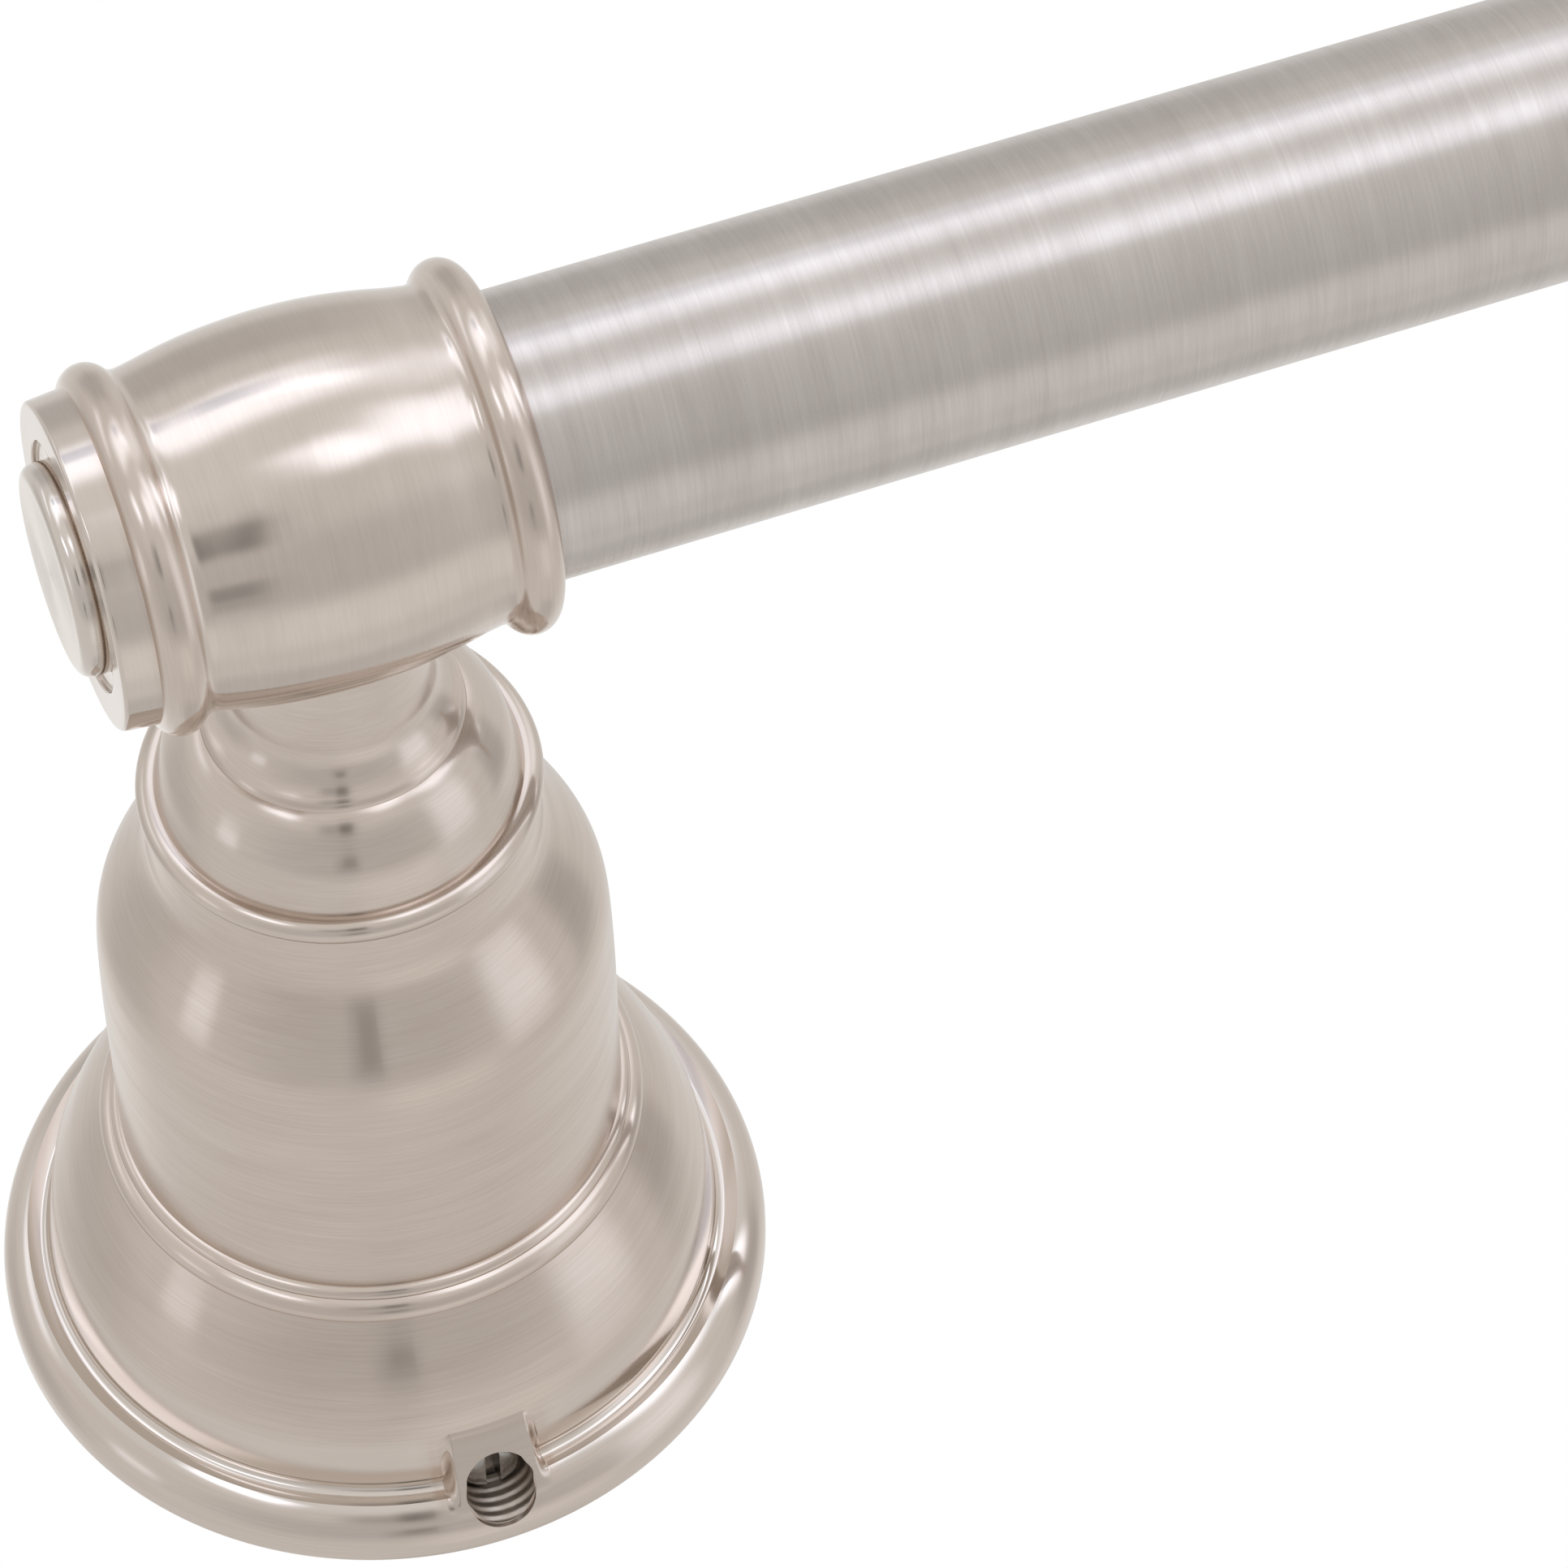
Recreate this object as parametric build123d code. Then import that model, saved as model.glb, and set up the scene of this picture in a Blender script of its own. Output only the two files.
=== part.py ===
from build123d import *

import os
from math import sqrt

# Wall-mounted rail: a round bar carried by two turned posts on bell-shaped escutcheons.
# Installed frame, in millimetres: +X runs along the bar, +Z is up, the wall is the plane Y = 0
# and the room is on the -Y side. The origin is on the wall, midway between the two posts.
#
# Each bracket is drawn in its own frame, with the post's axis along local Z (height from the wall),
# the bar along local +X and the underside, where the set screw is, on local -Y.

# ---- driving dimensions ----
POST_SPACING = 609.6        # centre to centre of the posts, a 24 inch bar
BAR_STANDOFF = 82.3         # wall to the bar's axis
BAR_RADIUS = 9.525          # 3/4 inch tube
BAR_WALL = 1.0
RUNNING_CLEARANCE = 0.06    # radial, bar in its sockets
TOUCH_GAP = 0.05            # assembly play between pieces that only locate each other
CUT_PAST = 1.0              # how far a cutting shape runs past the faces it opens

# ---- bell escutcheon: outline as (radius, height from the wall) ----
FLANGE_RADIUS = 27.2
FLANGE_EDGE = 0.9           # straight part of the flange's edge, off the wall
RIM_TOP = (25.25, 4.05)     # crest of the rolled rim
RIM_MIDDLE = (26.6, 2.85)
GROOVE = (24.3, 3.68)       # bottom of the polished groove inside the rim
GROOVE_MIDDLE = (24.82, 3.86)
FILLET_MIDDLE = (23.86, 3.9)
SKIRT_FOOT = (23.68, 4.5)
SKIRT_BREAK = (23.2, 8.0)   # polished band below, satin skirt above
SKIRT = [(22.95, 9.4), (22.45, 10.9), (21.5, 13.2), (20.2, 15.6)]
WAIST = (18.95, 17.4)
WAIST_RING_LOW = [(18.85, 18.2), (18.1, 18.85)]
WAIST_RING_HIGH = [(17.95, 19.35), (17.5, 19.6)]
BELL_RADIUS = 17.5
BELL_STRAIGHT_TOP = 31.0
BELL_SHOULDER = [(17.46, 34.5), (17.36, 38.0), (17.08, 40.5), (16.34, 42.5), (15.2, 44.6), (14.1, 46.6)]
COLLAR_FOOT = (13.2, 49.5)
MID_BEAD_TUBE = 1.04        # section radius of the bead on top of the bell
MID_BEAD_CENTRE = (12.44, 53.66)
COLLAR_RADIUS = 13.1
SEAT_RADIUS = 12.3          # where the cup sits on the bead
SEAT_HEIGHT = 54.6

# ---- hollow inside the bell: (radius, height) ----
CAVITY = [(21.0, 0.0), (21.0, 8.5), (19.6, 11.3), (16.9, 16.0), (15.1, 19.2), (15.1, 38.5),
          (14.2, 41.2), (12.3, 43.8), (10.2, 45.4)]
CAVITY_TOP = 46.0

# ---- set-screw boss under the rim ----
BOSS_LOW = (-25.95, 3.5)    # two points of its sloping face, as (local Y, height)
BOSS_HIGH = (-23.2, 8.8)
BOSS_WIDTH = 7.4
BOSS_FOOT_DROP = 2.2        # how far the face runs on below its low point, along the slope
BOSS_DEPTH = 2.8
BOSS_EDGE = 0.8
SCREW_HEIGHT = 4.2          # set screw's axis above the wall
LUG_WIDTH = 9.0             # thickening behind the boss, inside the bell
LUG_INNER_Y = -17.4
LUG_HEIGHT = 8.2
LUG_OVERLAP = 1.5           # lug and hook run this far into the bell's wall
HOOK_WIDTH = 10.0           # catch opposite the set screw, inside the bell
HOOK_TOP = 4.2

# ---- set screw, M5 slotted, cone point ----
SET_SCREW_RADIUS = 2.45
SET_SCREW_HOLE = 2.5
SET_SCREW_OUTER_Y = -23.9
SET_SCREW_INNER_Y = -15.75
SET_SCREW_POINT = 1.3
SET_SCREW_POINT_RADIUS = 1.2
SET_SCREW_CHAMFER = 0.35
SLOT_WIDTH = 1.05
SLOT_DEPTH = 1.3

# ---- wall plate, dovetailed top and bottom ----
PLATE_WIDTH = 21.0
PLATE_THICKNESS = 7.4
PLATE_BACK_HALF = 13.6      # half height against the wall
PLATE_FRONT_HALF = 16.4
PLATE_EDGE = 1.0            # straight edge next to the wall before the bevel starts
PLATE_CORNER = 3.0
HOLE_HALF_SPACING = 8.0     # wall screws, above and below the centre
PLATE_HOLE_RADIUS = 2.45
POCKET_RADIUS = 4.5
POCKET_FLOOR = 2.6

# ---- wall screws, No. 8 pan head ----
WALL_SCREW_RADIUS = 2.1
WALL_SCREW_SHOULDER = 2.35  # thicker neck where the screw passes the plate
WALL_SCREW_LENGTH = 32.0
WALL_SCREW_POINT = 5.0
WALL_SCREW_TIP_RADIUS = 0.35
WALL_HEAD_RADIUS = 3.9
WALL_HEAD_HEIGHT = 2.5
DRIVE_WIDTH = 1.1
DRIVE_LENGTH = 4.6
DRIVE_DEPTH = 1.4
CROWN_SHARE = 0.45          # how much of a pan head's height is rounded over

# ---- joint between bell and head ----
SPIGOT = 9.0                # square key under the cup
SPIGOT_LENGTH = 3.0
TAPPED_RADIUS = 3.0         # M6
TAPPED_TOP = 65.6
WEB_HOLE_RADIUS = 3.3
POST_SCREW_RADIUS = 2.95
POST_SCREW_END = 63.0
POST_SCREW_CHAMFER = 0.5
POST_HEAD_RADIUS = 5.6
POST_HEAD_HEIGHT = 3.9
FLAT_WASHER = (3.2, 6.2, 1.2)   # inner radius, outer radius, thickness
LOCK_WASHER = (3.1, 5.2, 1.5)
LOCK_WASHER_SPLIT = 0.9
LOCK_WASHER_SLANT = 25      # degrees

# ---- head casting: cup and neck as (radius, height from the wall) ----
CUP = [(11.9, 55.9), (11.35, 57.8), (10.4, 59.5)]
CUP_TOP = (8.75, 61.1)
NECK_RING = (8.45, 61.75)
NECK_COVE = (7.25, 63.1)
NECK_RADIUS = 6.8
NECK_FOOT = 65.1

# ---- barrel on the bar's axis: outline as (distance along the bar, radius) ----
DISC_FACE = -15.77
DISC_EDGE = 0.3
DISC_RADIUS = 10.75
DISC_FOOT = (-13.4, 10.95)
OUTER_BEAD = (-11.8, 12.12)
OUTER_BEAD_END = (-10.35, 11.3)
BARREL_FROM = (-9.6, 11.2)
BARREL = [(-8.5, 11.41), (-7.0, 11.72), (-5.5, 11.97), (-4.0, 12.14), (-2.5, 12.25), (-0.75, 12.32),
          (1.0, 12.3), (2.5, 12.22), (4.0, 12.07), (5.5, 11.85), (7.0, 11.58), (8.0, 11.37)]
BARREL_TO = (9.7, 11.12)
INNER_BEAD = (11.31, 12.34)
INNER_BEAD_END = (12.97, 10.7)
MOUTH_EDGE = 0.35
SOCKET_FLOOR = -8.6

# ---- button in the middle of the disc ----
BUTTON_RADIUS = 6.95
BUTTON_FACE = -17.23
BUTTON_EDGE = 0.8
BUTTON_SEAT = -15.4         # floor of the recess around the button
RECESS_RADIUS = 8.2
STEM_RADIUS = 2.5
STEM_END = -10.9

# ---- plugs in the ends of the bar ----
PLUG_FLANGE = 1.0
PLUG_END = -8.0             # outer face of the plug, just off the socket's floor
PLUG_REACH = 10.0
PLUG_WALL = 1.6
PLUG_FLANGE_STEP = 0.3      # the plug's flange is this much smaller than the tube


STANDING = (Align.CENTER, Align.CENTER, Align.MIN)


def outline(*pieces):
    """A closed face from curves that run on from each other, in the plane of the post's axis."""
    curve = Curve() + list(pieces)
    return make_face(Plane.XZ * curve)


def post_turned(*pieces):
    return revolve(outline(*pieces), Axis.Z)


def bar_turned(*pieces):
    face = Pos(0, 0, BAR_STANDOFF) * outline(*pieces)
    return revolve(face, Axis((0, 0, BAR_STANDOFF), (1, 0, 0)))


def post_rod(radius, low, high):
    """Cylinder on the post's axis between two heights."""
    return Pos(0, 0, low) * Cylinder(radius, high - low, align=STANDING)


def side_rod(radius, low_y, high_y):
    """Cylinder on the set screw's axis between two local Y positions."""
    rod = Cylinder(radius, high_y - low_y, align=STANDING)
    return Pos(0, low_y, SCREW_HEIGHT) * Rot(-90, 0, 0) * rod


def block(width, y, z):
    """Box centred on X, from y[0] to y[1] and z[0] to z[1]."""
    box = Box(width, y[1] - y[0], z[1] - z[0], align=(Align.CENTER, Align.MIN, Align.MIN))
    return Pos(0, y[0], z[0]) * box


def bell_body():
    """The turned outside of the escutcheon, solid."""
    crease = sqrt(MID_BEAD_TUBE**2 - (COLLAR_RADIUS - MID_BEAD_CENTRE[0])**2)
    bead_foot = (COLLAR_RADIUS, MID_BEAD_CENTRE[1] - crease)
    bead_out = (MID_BEAD_CENTRE[0] + MID_BEAD_TUBE, MID_BEAD_CENTRE[1])
    edge_top = (FLANGE_RADIUS, FLANGE_EDGE)
    bell_foot = WAIST_RING_HIGH[1]
    straight_top = (BELL_RADIUS, BELL_STRAIGHT_TOP)
    seat = (SEAT_RADIUS, SEAT_HEIGHT)
    return post_turned(
        Line((0, 0), (FLANGE_RADIUS, 0)),
        Line((FLANGE_RADIUS, 0), edge_top),
        ThreePointArc(edge_top, RIM_MIDDLE, RIM_TOP),
        ThreePointArc(RIM_TOP, GROOVE_MIDDLE, GROOVE),
        ThreePointArc(GROOVE, FILLET_MIDDLE, SKIRT_FOOT),
        Line(SKIRT_FOOT, SKIRT_BREAK),
        Spline([SKIRT_BREAK, *SKIRT, WAIST]),
        ThreePointArc(WAIST, *WAIST_RING_LOW),
        ThreePointArc(WAIST_RING_LOW[1], *WAIST_RING_HIGH),
        Line(bell_foot, straight_top),
        Spline([straight_top, *BELL_SHOULDER, COLLAR_FOOT], tangents=((0, 1), (0, 1))),
        Line(COLLAR_FOOT, bead_foot),
        ThreePointArc(bead_foot, bead_out, seat),
        Line(seat, (0, SEAT_HEIGHT)),
        Line((0, SEAT_HEIGHT), (0, 0)),
    )


def bell_cavity():
    top = (0, CAVITY_TOP)
    shoulder_end = (CAVITY[-1][0] - 2.0, CAVITY_TOP)
    walls = Polyline([*CAVITY, shoulder_end, top, (0, 0), CAVITY[0]])
    return post_turned(walls)


def boss():
    """Raised pad around the set screw's hole, with a face that slopes from skirt to rim."""
    (low_y, low_z), (high_y, high_z) = BOSS_LOW, BOSS_HIGH
    run, rise = high_y - low_y, high_z - low_z
    slope = sqrt(run**2 + rise**2)
    face = Plane(origin=(0, high_y, high_z), x_dir=(1, 0, 0), z_dir=(0, -rise, run))
    pad = Rectangle(BOSS_WIDTH, slope + BOSS_FOOT_DROP, align=(Align.CENTER, Align.MAX))
    solid = extrude(face * pad, amount=-BOSS_DEPTH)
    front = solid.faces().sort_by(Axis((0, 0, 0), (0, -rise, run)))[-1]
    solid = fillet(front.edges(), BOSS_EDGE)
    return solid & block(BOSS_WIDTH, (2 * low_y, 0), (0, 2 * high_z))


def bevel_wedge(half_back, half_front, width, top):
    """Prism with the wall plate's dovetail section, straight next to the wall and then flaring."""
    section = Polyline(
        (-half_back, 0),
        (half_back, 0),
        (half_back, PLATE_EDGE),
        (half_front, top),
        (-half_front, top),
        (-half_back, PLATE_EDGE),
        close=True,
    )
    return Pos(-width / 2, 0, 0) * extrude(Plane.YZ * make_face(section), amount=width)


def bell():
    reach = CAVITY[0][0] + LUG_OVERLAP
    lug = block(LUG_WIDTH, (-reach, LUG_INNER_Y), (0, LUG_HEIGHT))
    hook = block(HOOK_WIDTH, (PLATE_BACK_HALF, reach), (PLATE_EDGE, HOOK_TOP))
    plate_room = bevel_wedge(
        PLATE_BACK_HALF + TOUCH_GAP, PLATE_FRONT_HALF + TOUCH_GAP, HOOK_WIDTH + 2 * CUT_PAST, PLATE_THICKNESS
    )
    solid = bell_body() + boss() - bell_cavity() + lug + (hook - plate_room)
    solid -= side_rod(SET_SCREW_HOLE, -FLANGE_RADIUS - CUT_PAST, 0)
    solid -= post_rod(WEB_HOLE_RADIUS, CAVITY_TOP - CUT_PAST, SEAT_HEIGHT + CUT_PAST)
    key = SPIGOT + 2 * TOUCH_GAP
    pocket_floor = SEAT_HEIGHT - SPIGOT_LENGTH - 2 * TOUCH_GAP
    return solid - block(key, (-key / 2, key / 2), (pocket_floor, SEAT_HEIGHT + CUT_PAST))


def set_screw():
    thread = SET_SCREW_INNER_Y - SET_SCREW_POINT
    solid = side_rod(SET_SCREW_RADIUS, SET_SCREW_OUTER_Y, thread)
    solid = chamfer(solid.edges().group_by(Axis.Y)[0], SET_SCREW_CHAMFER)
    cone = Cone(SET_SCREW_RADIUS, SET_SCREW_POINT_RADIUS, SET_SCREW_POINT, align=STANDING)
    solid += Pos(0, thread, SCREW_HEIGHT) * Rot(-90, 0, 0) * cone
    slot_y = (SET_SCREW_OUTER_Y - CUT_PAST, SET_SCREW_OUTER_Y + SLOT_DEPTH)
    slot_z = (SCREW_HEIGHT - 2 * SET_SCREW_RADIUS, SCREW_HEIGHT + 2 * SET_SCREW_RADIUS)
    return solid - block(SLOT_WIDTH, slot_y, slot_z)


def wall_plate():
    solid = bevel_wedge(PLATE_BACK_HALF, PLATE_FRONT_HALF, PLATE_WIDTH, PLATE_THICKNESS)
    solid &= extrude(RectangleRounded(PLATE_WIDTH, 2 * PLATE_FRONT_HALF, PLATE_CORNER), PLATE_THICKNESS)
    for side in (-1, 1):
        hole = Pos(0, side * HOLE_HALF_SPACING, 0)
        solid -= hole * post_rod(PLATE_HOLE_RADIUS, -CUT_PAST, PLATE_THICKNESS + CUT_PAST)
        solid -= hole * post_rod(POCKET_RADIUS, POCKET_FLOOR, PLATE_THICKNESS + CUT_PAST)
    return solid


def cross_drive(top, depth):
    """Cross recess that goes down from a screw head's top."""
    arm = Box(DRIVE_LENGTH, DRIVE_WIDTH, depth + CUT_PAST, align=STANDING)
    return Pos(0, 0, top - depth) * (arm + Rot(0, 0, 90) * arm)


def pan_head(radius, height, low):
    """Pan head that stands on the height low, with its crown towards the room."""
    head = post_rod(radius, low, low + height)
    return fillet(head.edges().group_by(Axis.Z)[-1], height * CROWN_SHARE)


def wall_screw():
    top = POCKET_FLOOR + WALL_HEAD_HEIGHT
    tip = POCKET_FLOOR - WALL_SCREW_LENGTH
    solid = pan_head(WALL_HEAD_RADIUS, WALL_HEAD_HEIGHT, POCKET_FLOOR)
    solid += post_rod(WALL_SCREW_SHOULDER, 0, POCKET_FLOOR)
    solid += post_rod(WALL_SCREW_RADIUS, tip + WALL_SCREW_POINT, 0)
    solid += Pos(0, 0, tip) * Cone(WALL_SCREW_TIP_RADIUS, WALL_SCREW_RADIUS, WALL_SCREW_POINT, align=STANDING)
    return solid - cross_drive(top, DRIVE_DEPTH)


def wall_screws():
    return [Pos(0, side * HOLE_HALF_SPACING, 0) * wall_screw() for side in (-1, 1)]


def washer(inner, outer, low, high):
    return post_rod(outer, low, high) - post_rod(inner, low - CUT_PAST, high + CUT_PAST)


def flat_washer():
    inner, outer, thick = FLAT_WASHER
    return washer(inner, outer, CAVITY_TOP - thick, CAVITY_TOP)


def lock_washer():
    inner, outer, thick = LOCK_WASHER
    high = CAVITY_TOP - FLAT_WASHER[2]
    ring = washer(inner, outer, high - thick, high)
    split = Box(outer, LOCK_WASHER_SPLIT, 4 * thick, align=(Align.MIN, Align.CENTER, Align.CENTER))
    return ring - Pos(0, 0, high) * Rot(LOCK_WASHER_SLANT, 0, 0) * split


def post_screw():
    under_head = CAVITY_TOP - FLAT_WASHER[2] - LOCK_WASHER[2]
    head = post_rod(POST_HEAD_RADIUS, under_head - POST_HEAD_HEIGHT, under_head)
    head = fillet(head.edges().group_by(Axis.Z)[0], POST_HEAD_HEIGHT * CROWN_SHARE)
    solid = head + post_rod(POST_SCREW_RADIUS, under_head, POST_SCREW_END)
    solid = chamfer(solid.edges().group_by(Axis.Z)[-1], POST_SCREW_CHAMFER)
    bottom = under_head - POST_HEAD_HEIGHT
    return solid - Pos(0, 0, bottom) * Rot(180, 0, 0) * cross_drive(0, 2 * DRIVE_DEPTH)


def head():
    """Cup, neck and barrel in one casting, with the bar's socket and the button's seat."""
    seat = (SEAT_RADIUS - TOUCH_GAP, SEAT_HEIGHT)
    neck_foot = (NECK_RADIUS, NECK_FOOT)
    neck_top = (NECK_RADIUS, BAR_STANDOFF)
    cup = post_turned(
        Line((0, SEAT_HEIGHT), seat),
        Spline([seat, *CUP, CUP_TOP], tangents=((-0.2, 1), (-2.2, 1))),
        Line(CUP_TOP, NECK_RING),
        ThreePointArc(NECK_RING, NECK_COVE, neck_foot),
        Line(neck_foot, neck_top),
        Line(neck_top, (0, BAR_STANDOFF)),
        Line((0, BAR_STANDOFF), (0, SEAT_HEIGHT)),
    )
    disc_flat = (DISC_FACE, DISC_RADIUS - DISC_EDGE)
    disc_side = (DISC_FACE + DISC_EDGE, DISC_RADIUS)
    mouth = (INNER_BEAD_END[0], 0)
    barrel = bar_turned(
        Line((DISC_FACE, 0), disc_flat),
        RadiusArc(disc_flat, disc_side, DISC_EDGE),
        Line(disc_side, DISC_FOOT),
        ThreePointArc(DISC_FOOT, OUTER_BEAD, OUTER_BEAD_END),
        Line(OUTER_BEAD_END, BARREL_FROM),
        Spline([BARREL_FROM, *BARREL, BARREL_TO]),
        ThreePointArc(BARREL_TO, INNER_BEAD, INNER_BEAD_END),
        Line(INNER_BEAD_END, mouth),
        Line(mouth, (DISC_FACE, 0)),
    )
    socket = BAR_RADIUS + RUNNING_CLEARANCE
    mouth_x = INNER_BEAD_END[0]
    hollow = bar_turned(
        Polyline(
            (SOCKET_FLOOR, 0),
            (SOCKET_FLOOR, socket),
            (mouth_x - MOUTH_EDGE, socket),
            (mouth_x, socket + MOUTH_EDGE),
            (mouth_x + CUT_PAST, socket + MOUTH_EDGE),
            (mouth_x + CUT_PAST, 0),
            close=True,
        )
    )
    stem_hole = STEM_RADIUS + TOUCH_GAP / 2
    button_seat = bar_turned(
        Polyline(
            (DISC_FACE - CUT_PAST, 0),
            (DISC_FACE - CUT_PAST, RECESS_RADIUS),
            (BUTTON_SEAT, RECESS_RADIUS),
            (BUTTON_SEAT, stem_hole),
            (STEM_END + TOUCH_GAP, stem_hole),
            (STEM_END + TOUCH_GAP, 0),
            close=True,
        )
    )
    spigot = block(SPIGOT, (-SPIGOT / 2, SPIGOT / 2), (SEAT_HEIGHT - SPIGOT_LENGTH, SEAT_HEIGHT))
    tapped = post_rod(TAPPED_RADIUS, SEAT_HEIGHT - SPIGOT_LENGTH - CUT_PAST, TAPPED_TOP)
    return cup + barrel - hollow - button_seat + spigot - tapped


def finial_button():
    side = (BUTTON_FACE + BUTTON_EDGE, BUTTON_RADIUS)
    flat = (BUTTON_FACE, BUTTON_RADIUS - BUTTON_EDGE)
    return bar_turned(
        Line((BUTTON_FACE, 0), flat),
        RadiusArc(flat, side, BUTTON_EDGE),
        Polyline(
            side,
            (BUTTON_SEAT, BUTTON_RADIUS),
            (BUTTON_SEAT, STEM_RADIUS),
            (STEM_END, STEM_RADIUS),
            (STEM_END, 0),
            (BUTTON_FACE, 0),
        ),
    )


def bar_plug():
    inner = BAR_RADIUS - BAR_WALL - TOUCH_GAP / 2
    tube_end = PLUG_END + PLUG_FLANGE
    reach = tube_end + PLUG_REACH
    return bar_turned(
        Polyline(
            (PLUG_END, 0),
            (PLUG_END, BAR_RADIUS - PLUG_FLANGE_STEP),
            (tube_end, BAR_RADIUS - PLUG_FLANGE_STEP),
            (tube_end, inner),
            (reach, inner),
            (reach, inner - PLUG_WALL),
            (tube_end + PLUG_WALL, inner - PLUG_WALL),
            (tube_end + PLUG_WALL, 0),
            close=True,
        )
    )


def bar_tube():
    half = POST_SPACING / 2 - (PLUG_END + PLUG_FLANGE)
    tube = Cylinder(BAR_RADIUS, 2 * half) - Cylinder(BAR_RADIUS - BAR_WALL, 2 * half)
    return Pos(0, -BAR_STANDOFF, 0) * Rot(0, 90, 0) * tube


def placed(shape, side, turned_to_bar):
    """Stand a bracket piece on the wall at its post; the head's pieces face the bar from both ends."""
    turn = 180 if turned_to_bar and side > 0 else 0
    place = Pos(side * POST_SPACING / 2, 0, 0) * Rot(90, 0, 0) * Rot(0, 0, turn)
    if isinstance(shape, list):
        return Compound(children=[place * each for each in shape])
    return place * shape


fixed_pieces = {
    "wall_plate": wall_plate(),
    "wall_screws": wall_screws(),
    "bell": bell(),
    "set_screw": set_screw(),
    "post_screw": post_screw(),
    "lock_washer": lock_washer(),
    "flat_washer": flat_washer(),
}
facing_pieces = {
    "barrel_head": head(),
    "finial_button": finial_button(),
    "bar_plug": bar_plug(),
}

os.makedirs("parts", exist_ok=True)
for side_name, side in (("left", -1), ("right", 1)):
    for pieces, turned_to_bar in ((fixed_pieces, False), (facing_pieces, True)):
        for name, shape in pieces.items():
            export_step(placed(shape, side, turned_to_bar), f"parts/{side_name}_{name}.step")
export_step(bar_tube(), "parts/bar_tube.step")
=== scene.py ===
import math

import bmesh
import bpy
import numpy as np
from mathutils import Matrix, Vector


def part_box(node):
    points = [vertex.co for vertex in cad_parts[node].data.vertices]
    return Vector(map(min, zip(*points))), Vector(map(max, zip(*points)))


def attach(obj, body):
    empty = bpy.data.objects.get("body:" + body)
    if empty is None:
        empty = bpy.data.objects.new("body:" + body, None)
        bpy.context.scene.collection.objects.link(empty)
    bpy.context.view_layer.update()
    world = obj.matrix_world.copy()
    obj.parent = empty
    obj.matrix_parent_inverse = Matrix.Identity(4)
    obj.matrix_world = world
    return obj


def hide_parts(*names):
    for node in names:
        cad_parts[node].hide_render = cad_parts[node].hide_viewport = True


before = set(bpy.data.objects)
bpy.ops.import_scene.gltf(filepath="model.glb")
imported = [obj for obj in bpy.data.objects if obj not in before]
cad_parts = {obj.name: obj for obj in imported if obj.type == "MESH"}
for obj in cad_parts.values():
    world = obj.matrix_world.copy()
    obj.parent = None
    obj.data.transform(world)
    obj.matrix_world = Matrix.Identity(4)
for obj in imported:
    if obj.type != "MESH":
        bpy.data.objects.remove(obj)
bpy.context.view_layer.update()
MM = 0.001

# ---------------------------------------------------------------------------
# Where things are: each bracket's post stands at its bell's middle, the bar's axis comes from the bar.
# ---------------------------------------------------------------------------
SIDES = ("left", "right")
bar_low, bar_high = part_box("bar_tube")
BAR_RADIUS = (bar_high.z - bar_low.z) / 2 / MM
BAR_HALF = (bar_high.x - bar_low.x) / 2 / MM
BAR_STANDOFF = -(bar_low.y + bar_high.y) / 2 / MM  # bar's axis above the wall
POSTS = {}
for side in SIDES:
    low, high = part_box(side + "_bell")
    POSTS[side] = (low.x + high.x) / 2
bell_low, bell_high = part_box("left_bell")
FLANGE_RADIUS = (bell_high.z - bell_low.z) / 2 / MM
SMOOTH_BELOW = math.radians(42)                    # edges that turn more than this stay sharp


# ---------------------------------------------------------------------------
# Curves in a half plane, in mm: (distance along the axis, radius)
# ---------------------------------------------------------------------------
def line(a, b, n=2):
    t = np.linspace(0, 1, n)[:, None]
    return np.array(a) * (1 - t) + np.array(b) * t


def arc(a, m, b, n=14):
    """Circle arc through three points."""
    (ax, ay), (bx, by), (cx, cy) = a, m, b
    d = 2 * (ax * (by - cy) + bx * (cy - ay) + cx * (ay - by))
    ux = ((ax**2 + ay**2) * (by - cy) + (bx**2 + by**2) * (cy - ay) + (cx**2 + cy**2) * (ay - by)) / d
    uy = ((ax**2 + ay**2) * (cx - bx) + (bx**2 + by**2) * (ax - cx) + (cx**2 + cy**2) * (bx - ax)) / d
    r = math.hypot(ax - ux, ay - uy)
    t0, tm, t1 = (math.atan2(y - uy, x - ux) for x, y in (a, m, b))
    turn = 2 * math.pi
    span, mid = (t1 - t0) % turn, (tm - t0) % turn
    if mid > span:
        span -= turn
    t = t0 + np.linspace(0, span, n)
    return np.stack([ux + r * np.cos(t), uy + r * np.sin(t)], 1)


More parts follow.
